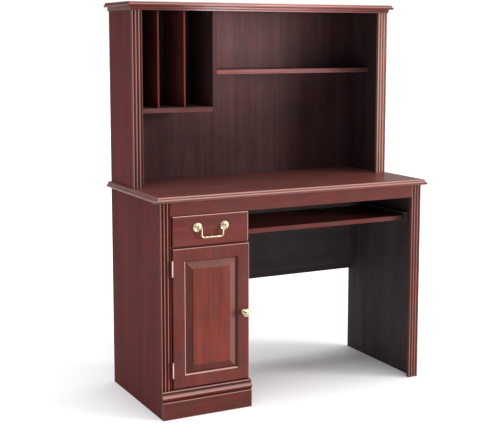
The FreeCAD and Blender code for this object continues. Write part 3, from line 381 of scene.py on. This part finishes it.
SLOTS = {"brass": BRASS, "hinge_brass": HINGE, "zinc_steel": ZINC, "coated_steel": COATED,
         "nylon": NYLON, "catch_plastic": CATCH, "drawer_box_board": BOX, "beech": BEECH}
for node in NODES.values():
    for index, material in enumerate(node.data.materials):
        if material.name in SLOTS:
            node.data.materials[index] = SLOTS[material.name]

# The cams sit under cherry caps, and the frame screws are seen as dark dots.
NODES["cam_locks"].data.materials[0] = COVER
NODES["frame_screws"].data.materials[0] = COATED

# ---- brass pull and knob ----

LATHE_STEPS, WIRE_STEPS = 64, 20
MM_PER_M = 1000


def mesh_from(name, shape):
    mesh = bpy.data.meshes.new(name)
    shape.to_mesh(mesh)
    shape.free()
    return mesh


def placed(name, data):
    """A new object in the scene."""
    thing = bpy.data.objects.new(name, data)
    bpy.context.scene.collection.objects.link(thing)
    return thing


def skin(name, shells, body, node):
    """One cast piece over shells of rings, which takes the place of a CAD node."""
    shape = bmesh.new()
    for rings in shells:
        loops = [[shape.verts.new(point) for point in ring] for ring in rings]
        for first, second in zip(loops, loops[1:]):
            for index in range(len(first)):
                after = (index + 1) % len(first)
                shape.faces.new((first[index], first[after], second[after], second[index]))
        shape.faces.new(list(reversed(loops[0])))
        shape.faces.new(loops[-1])
    bmesh.ops.recalc_face_normals(shape, faces=shape.faces)
    mesh = mesh_from(name, shape)
    mesh.polygons.foreach_set("use_smooth", [True] * len(mesh.polygons))
    mesh.materials.append(BRASS)
    piece = placed(name, mesh)
    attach(piece, body)
    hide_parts(node)


def lathed(centre, profile, petals=0):
    """Rings turned about a line along -Y, from steps of radius, reach and petal depth."""
    rings = []
    for radius, reach, depth in profile:
        ring = []
        for step in range(LATHE_STEPS):
            angle = math.tau * step / LATHE_STEPS
            size = radius - depth * (1 - abs(math.cos(angle * petals / 2)))
            ring.append(centre + Vector((math.cos(angle) * size, -reach,
                                         math.sin(angle) * size)) / MM_PER_M)
        rings.append(ring)
    return rings


def swept(path, radii):
    """Rings along a path in an upright plane that faces -Y."""
    depth = Vector((0, 1, 0))
    rings = []
    for index, point in enumerate(path):
        ahead = path[min(index + 1, len(path) - 1)] - path[max(index - 1, 0)]
        across = ahead.normalized().cross(depth)
        angles = [math.tau * step / WIRE_STEPS for step in range(WIRE_STEPS)]
        rings.append([point + (across * math.cos(angle) + depth * math.sin(angle))
                      * radii[index] for angle in angles])
    return rings


# Profiles in millimetres: radius, reach from the wood, petal depth.
ROSETTE = [
    (14.8, 0.0, 0.8), (15.9, 0.5, 1.1), (15.9, 1.5, 1.3), (14.6, 2.5, 1.2), (13.0, 2.4, 0.8),
    (12.2, 1.8, 0.3), (11.4, 2.0, 0.0), (10.4, 3.2, 0.0), (9.0, 3.6, 0.0), (8.0, 3.0, 0.0),
    (7.2, 3.2, 0.0), (5.4, 4.8, 0.0), (4.3, 6.6, 0.0), (4.0, 8.2, 0.0), (5.0, 9.0, 0.0),
    (5.0, 9.8, 0.0), (4.4, 10.4, 0.0), (5.4, 11.6, 0.0), (6.0, 14.0, 0.0), (5.6, 16.2, 0.0),
    (4.4, 18.2, 0.0), (2.6, 19.4, 0.0), (0.8, 19.95, 0.0),
]
KNOB = [
    (8.6, 0.0, 0.0), (9.0, 0.6, 0.0), (8.8, 1.6, 0.0), (7.0, 3.0, 0.0), (5.6, 5.0, 0.0),
    (5.0, 8.0, 0.0), (5.0, 12.0, 0.0), (6.4, 14.4, 0.0), (10.4, 16.8, 0.0), (13.0, 18.8, 0.0),
    (13.5, 20.2, 0.0), (13.0, 21.6, 0.0), (11.6, 22.4, 0.0), (10.4, 22.0, 0.0),
    (9.6, 22.2, 0.0), (8.8, 24.0, 0.0), (7.0, 26.0, 0.0), (4.4, 27.4, 0.0), (1.0, 27.95, 0.0),
]
ROSETTE_PETALS = 10
ROSETTE_INSET = 0.016    # from the end of the posts' box to a rosette's centre

posts_low, posts_high = (Vector(corner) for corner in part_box("pull_posts"))
post_height = (posts_low.z + posts_high.z) / 2
skin("pull_rosettes", [lathed(Vector((x, posts_high.y, post_height)), ROSETTE, ROSETTE_PETALS)
                       for x in (posts_low.x + ROSETTE_INSET, posts_high.x - ROSETTE_INSET)],
     "drawer", "pull_posts")

knob_low, knob_high = (Vector(corner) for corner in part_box("door_knob"))
skin("door_pull_knob", [lathed(Vector(((knob_low.x + knob_high.x) / 2, knob_high.y,
                                       (knob_low.z + knob_high.z) / 2)), KNOB)],
     "door", "door_knob")

# The bail in metres, out from its middle and down from its pins: the pin's end and its
# start, the arm, the bends at the shoulder and the corner, and the radius of wire and bead.
BAIL_END, BAIL_PIN, BAIL_ARM = 0.0465, 0.0440, 0.0389
SHOULDER, BAIL_CORNER = 0.0045, 0.007
WIRE, BEAD = 0.0027, 0.0039
SHOULDER_STEPS, ARM_STEPS, CORNER_STEPS, GRIP_STEPS = 6, 11, 8, 64
# The grip: where its beads start and end, and the wave of its ribs.
BEAD_IN, BEAD_OUT = 0.0235, 0.027
ARM_RADIUS, CORNER_RADIUS = 0.0025, 0.0026
GRIP_RADIUS, RIB_HEIGHT, RIB_LENGTH = 0.0033, 0.0004, 0.0042
GRIP_LEVEL = 0.0002      # a point this close to the lowest level is on the grip

bail_low, bail_high = (Vector(corner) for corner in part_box("drawer_bail"))
bail_middle = (bail_low + bail_high) / 2
BAIL_DROP = bail_high.z - bail_low.z - WIRE - BEAD
BAIL_LENGTH = BAIL_DROP - SHOULDER - BAIL_CORNER


def quarter_turn(steps):
    """The sine and the cosine at each step of a quarter turn, without its start."""
    angles = [math.radians(90 * step / steps) for step in range(1, steps + 1)]
    return [(math.sin(angle), math.cos(angle)) for angle in angles]


def half_bail():
    """From the right-hand pin over the shoulder, down the arm and along half the grip."""
    path = [(BAIL_END, 0), (BAIL_PIN, 0)]
    for sine, cosine in quarter_turn(SHOULDER_STEPS):
        path.append((BAIL_ARM + SHOULDER * (1 - sine), SHOULDER * (cosine - 1)))
    for step in range(1, ARM_STEPS + 1):
        path.append((BAIL_ARM, -SHOULDER - BAIL_LENGTH * step / ARM_STEPS))
    for sine, cosine in quarter_turn(CORNER_STEPS):
        path.append((BAIL_ARM - BAIL_CORNER * (1 - cosine),
                     -SHOULDER - BAIL_LENGTH - BAIL_CORNER * sine))
    for step in range(1, GRIP_STEPS + 1):
        path.append(((BAIL_ARM - BAIL_CORNER) * (1 - step / GRIP_STEPS), -BAIL_DROP))
    return [Vector((out, 0, up)) for out, up in path]


def bail_radius(point):
    """Slender arms, a bead at each end of the grip, and a ribbed grip between them."""
    if point.z > -BAIL_DROP + GRIP_LEVEL:
        return ARM_RADIUS
    out = abs(point.x)
    if out > BEAD_OUT:
        return CORNER_RADIUS
    if out > BEAD_IN:
        return BEAD
    return GRIP_RADIUS + RIB_HEIGHT * math.cos(out * math.tau / RIB_LENGTH)


pins = Vector((bail_middle.x, bail_middle.y, bail_low.z + BEAD + BAIL_DROP))
half_path = half_bail()
full_path = half_path + [Vector((-point.x, 0, point.z)) for point in reversed(half_path[:-1])]
skin("bail_handle", [swept([pins + point for point in full_path],
                           [bail_radius(point) for point in full_path])],
     "bail", "drawer_bail")

# ---- softened edges ----

SHARP = ("apron_rail", "plinth_board", "keyboard_tray", "hutch_left_shelf",
         "hutch_right_shelf", "hutch_divider", "slot_dividers", "cupboard_shelf",
         "left_side_panel", "right_leg_panel", "hutch_left_side", "hutch_right_side",
         "modesty_panel", "pedestal_partition", "drawer_left_side", "drawer_right_side",
         "drawer_back")
SOFT_WIDTH, SOFT_SEGMENTS, SOFT_ANGLE = 0.0007, 2, 50

for node in SHARP:
    bevel = NODES[node].modifiers.new("soft_edges", "BEVEL")
    bevel.width = SOFT_WIDTH
    bevel.segments = SOFT_SEGMENTS
    bevel.limit_method = "ANGLE"
    bevel.angle_limit = math.radians(SOFT_ANGLE)
    bevel.use_clamp_overlap = True

# ---- floor and sky ----

FLOOR_RADIUS, FLOOR_SIDES, FLOOR_ROUGH = 40, 96, 0.9
PAPER = (60.0, 2.0, 0.5)
PAPER_STOPS = [(LOW, (0.92, 0.92, 0.93)), (HIGH, (0.94, 0.94, 0.95))]

disc = bmesh.new()
bmesh.ops.create_circle(disc, cap_ends=True, segments=FLOOR_SIDES, radius=FLOOR_RADIUS)
floor = placed("studio_floor", mesh_from("studio_floor", disc))
paper = new_material("studio_floor")
paper.set(Base_Color=paper.ramp(paper.even(PAPER), PAPER_STOPS), Roughness=FLOOR_ROUGH)
floor.data.materials.append(paper.owner)

# The sky is bright up to the first height and dim from the second on.
SKY_HEIGHTS, SKY_STRENGTHS = (0.09, 0.16), (1.05, 0.14)

sky = Nodes(bpy.data.worlds.new("studio"), "Background")
bpy.context.scene.world = sky.owner
direction = sky.add("ShaderNodeTexCoord").outputs["Generated"]
height = sky.add("ShaderNodeSeparateXYZ", Vector=direction).outputs["Z"]
sky.set(Color=(*WHITE, 1), Strength=sky.levels(height, *SKY_HEIGHTS, *SKY_STRENGTHS))

# ---- lamps ----

# Soft suns: the direction they shine from, strength, width in degrees, tint.
SUNS = {
    "key": ((0.78, -0.60, 0.13), 4.5, 20, (1.0, 0.97, 0.94)),
    "side": ((-1.0, 0.10, 0.15), 0.8, 30, WHITE),
    "overhead": ((0.05, -0.15, 1.0), 3.65, 70, WHITE),
}
# A narrow lamp for the lit patch on the hutch's back.
ACCENT_PLACE, ACCENT_TARGET = (1.1, -2.6, 1.22), (-0.04, 0.24, 1.30)
ACCENT_WATTS, ACCENT_CONE, ACCENT_SOFT = 1500, 10, 0.25


def aimed(direction):
    """The rotation that points a lamp along a direction."""
    return direction.to_track_quat("-Z", "Y").to_euler()


for name, (source, strength, width, tint) in SUNS.items():
    sun = bpy.data.lights.new(name, "SUN")
    sun.energy = strength
    sun.angle = math.radians(width)
    sun.color = tint
    placed(name, sun).rotation_euler = aimed(-Vector(source))

accent = bpy.data.lights.new("accent", "SPOT")
accent.energy = ACCENT_WATTS
accent.spot_size = math.radians(ACCENT_CONE)
accent.spot_blend = 1.0
accent.shadow_soft_size = ACCENT_SOFT
accent_holder = placed("accent", accent)
accent_holder.location = ACCENT_PLACE
accent_holder.rotation_euler = aimed(Vector(ACCENT_TARGET) - accent_holder.location)

# ---- camera ----

CAMERA_PLACE = (-1.8195, -3.3956, 1.2557)
CAMERA_DOWN, CAMERA_TURN = 7.153, -26.936
CAMERA_LENS, CAMERA_SENSOR = 76.685, 36
CAMERA_SHIFT = (0.0077, -0.08)

lens_camera = bpy.data.cameras.new("photo_camera")
lens_camera.lens = CAMERA_LENS
lens_camera.sensor_width = CAMERA_SENSOR
lens_camera.shift_x, lens_camera.shift_y = CAMERA_SHIFT
camera = placed("photo_camera", lens_camera)
camera.location = CAMERA_PLACE
camera.rotation_euler = (math.radians(90 - CAMERA_DOWN), 0, math.radians(CAMERA_TURN))
bpy.context.scene.camera = camera
bpy.context.scene.view_settings.view_transform = "Standard"
